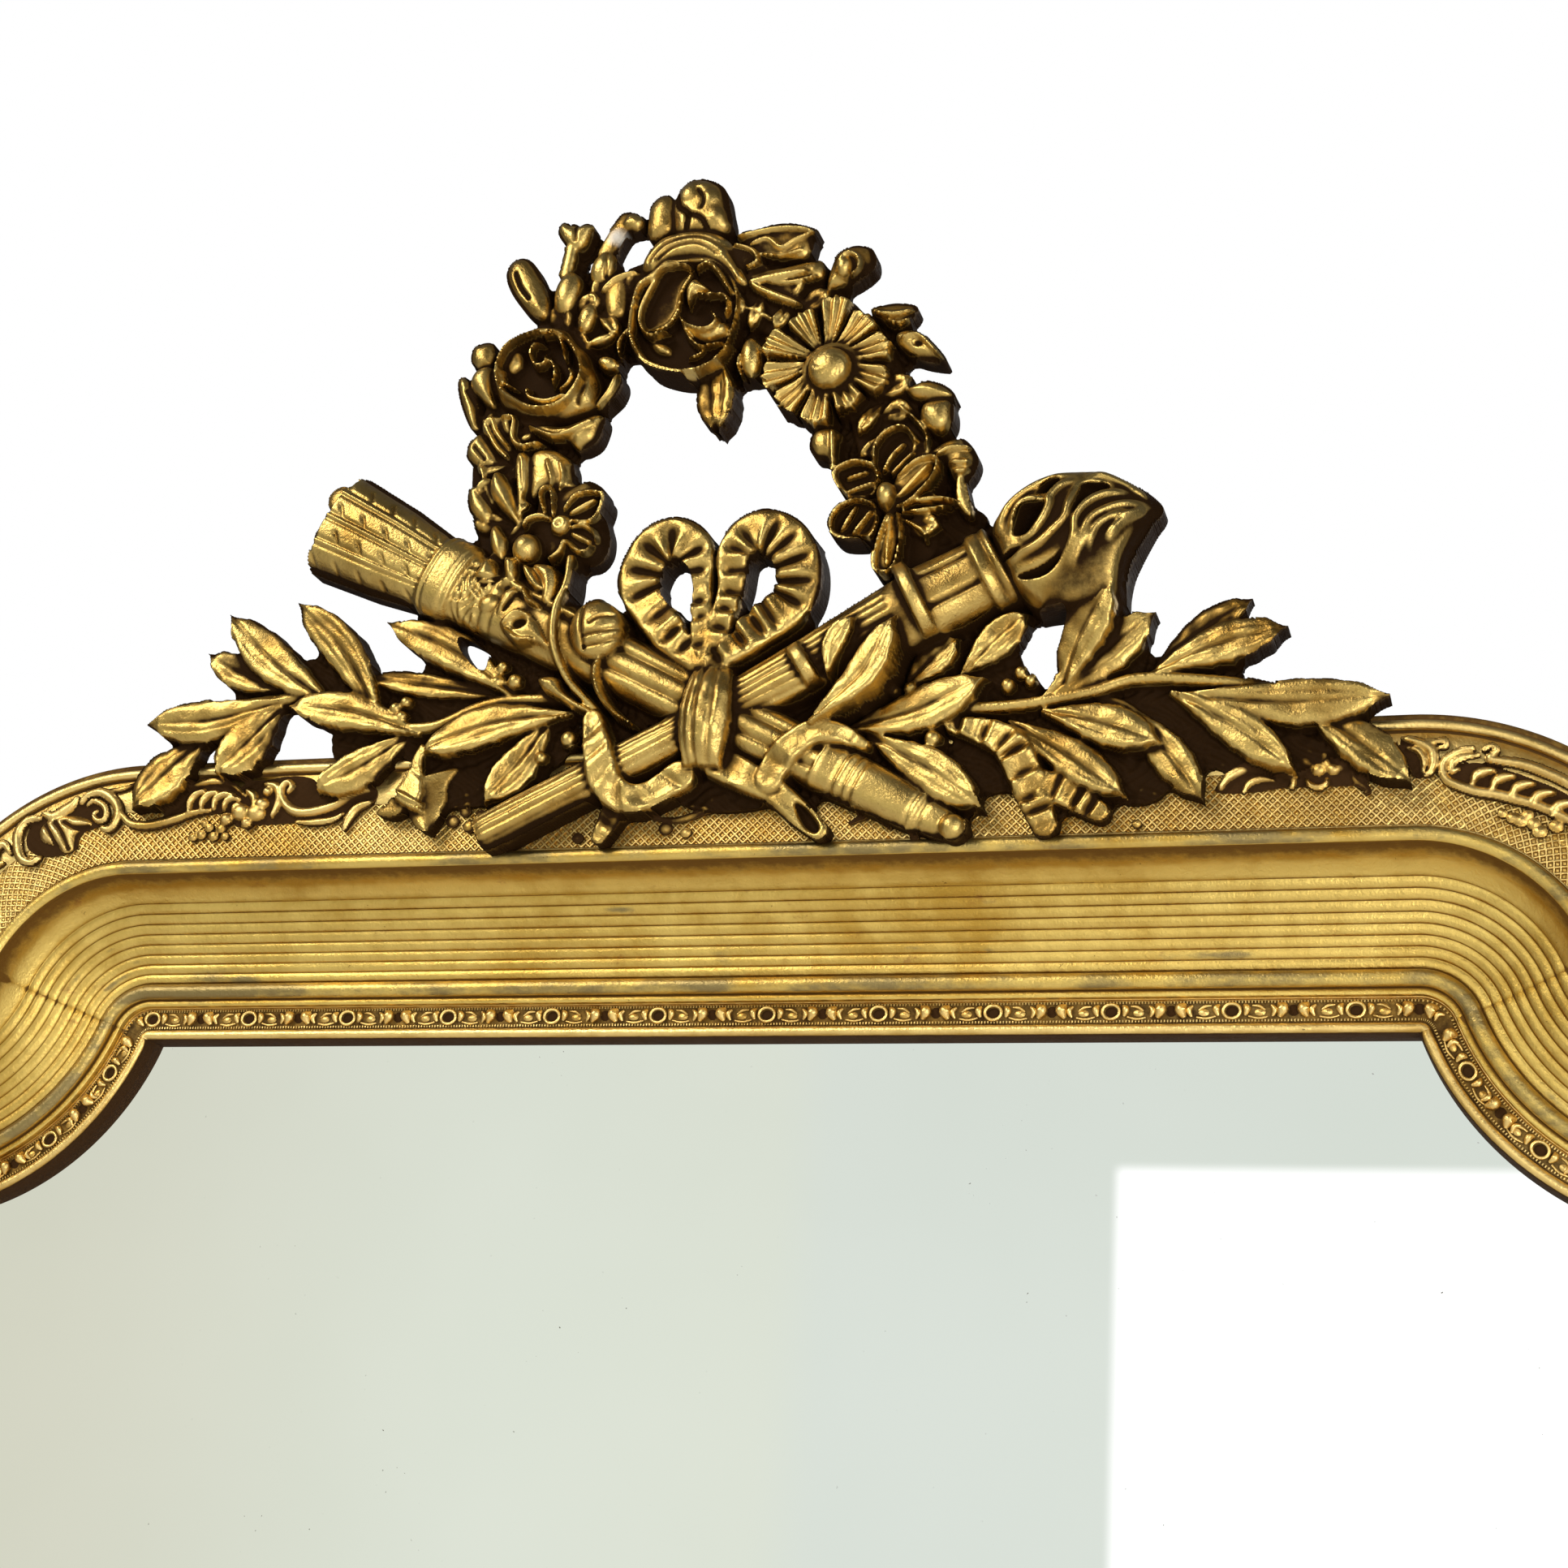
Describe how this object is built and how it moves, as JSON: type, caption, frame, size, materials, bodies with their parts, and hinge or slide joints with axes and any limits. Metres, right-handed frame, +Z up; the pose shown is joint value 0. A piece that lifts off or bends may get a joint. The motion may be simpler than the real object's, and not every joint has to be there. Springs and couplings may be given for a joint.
{
  "type": "crested wall mirror",
  "caption": "Shouldered gilt wall mirror with a reeded cove, diapered frieze and a carved crest of wreath, torch, quiver and laurel, hung by two D rings on its back.",
  "frame": {"origin": "middle of the backboards' rear face, which lies on the wall", "axes": "+X to the viewer's right, +Z up, +Y into the wall, so the viewer stands toward -Y"},
  "size_m": [1.1234, 0.1188, 1.764],
  "materials": {
    "gilt_moulding": "aged gilding over gesso",
    "gilt_ornament": "aged gilding over gesso",
    "gilt_carving": "burnished aged gilding over gesso",
    "carcass_pine": "old sawn pine",
    "back_pine": "old planed pine",
    "mirror": "silvered plate glass",
    "iron": "dark forged flat iron",
    "steel": "dulled steel"
  },
  "bodies": {
    "mirror": {"backboard_1": "back_pine", "backboard_2": "back_pine", "backboard_3": "back_pine", "board_screws": "steel", "bracket_screws": "steel", "carcass_bottom_rail": "carcass_pine", "carcass_stile_left": "carcass_pine", "carcass_stile_right": "carcass_pine", "carcass_top_rail": "carcass_pine", "cove_bottom": "gilt_moulding", "cove_shoulder_left": "gilt_moulding", "cove_shoulder_right": "gilt_moulding", "cove_side_left": "gilt_moulding", "cove_side_right": "gilt_moulding", "cove_top": "gilt_moulding", "crest_bow": "gilt_carving", "crest_bracket_left": "iron", "crest_bracket_right": "iron", "crest_laurel_left": "gilt_carving", "crest_laurel_right": "gilt_carving", "crest_quiver": "gilt_carving", "crest_ribbon_left": "gilt_carving", "crest_ribbon_middle": "gilt_carving", "crest_ribbon_right": "gilt_carving", "crest_torch": "gilt_carving", "crest_wreath": "gilt_carving", "frieze_bottom": "gilt_moulding", "frieze_shoulder_left": "gilt_moulding", "frieze_shoulder_right": "gilt_moulding", "frieze_side_left": "gilt_moulding", "frieze_side_right": "gilt_moulding", "frieze_top": "gilt_moulding", "glazing_blocks": "back_pine", "hanger_screws": "steel", "hanger_strap_left": "steel", "hanger_strap_right": "steel", "mirror_glass": "mirror", "rocaille_left": "gilt_ornament", "rocaille_right": "gilt_ornament", "slip_bottom": "gilt_moulding", "slip_shoulder_left": "gilt_moulding", "slip_shoulder_right": "gilt_moulding", "slip_side_left": "gilt_moulding", "slip_side_right": "gilt_moulding", "slip_top": "gilt_moulding"},
    "ring_left": {"hanger_ring_left": "steel"},
    "ring_right": {"hanger_ring_right": "steel"}
  },
  "joints": [
    {"name": "ring_left_swing", "type": "hinge", "parent": "mirror", "child": "ring_left", "pos_m": [-0.49668, -0.00485, 0.25641], "axis": [1, 0, 0], "range_deg": [0, 180]},
    {"name": "ring_right_swing", "type": "hinge", "parent": "mirror", "child": "ring_right", "pos_m": [0.49668, -0.00485, 0.25641], "axis": [1, 0, 0], "range_deg": [0, 180]}
  ]
}
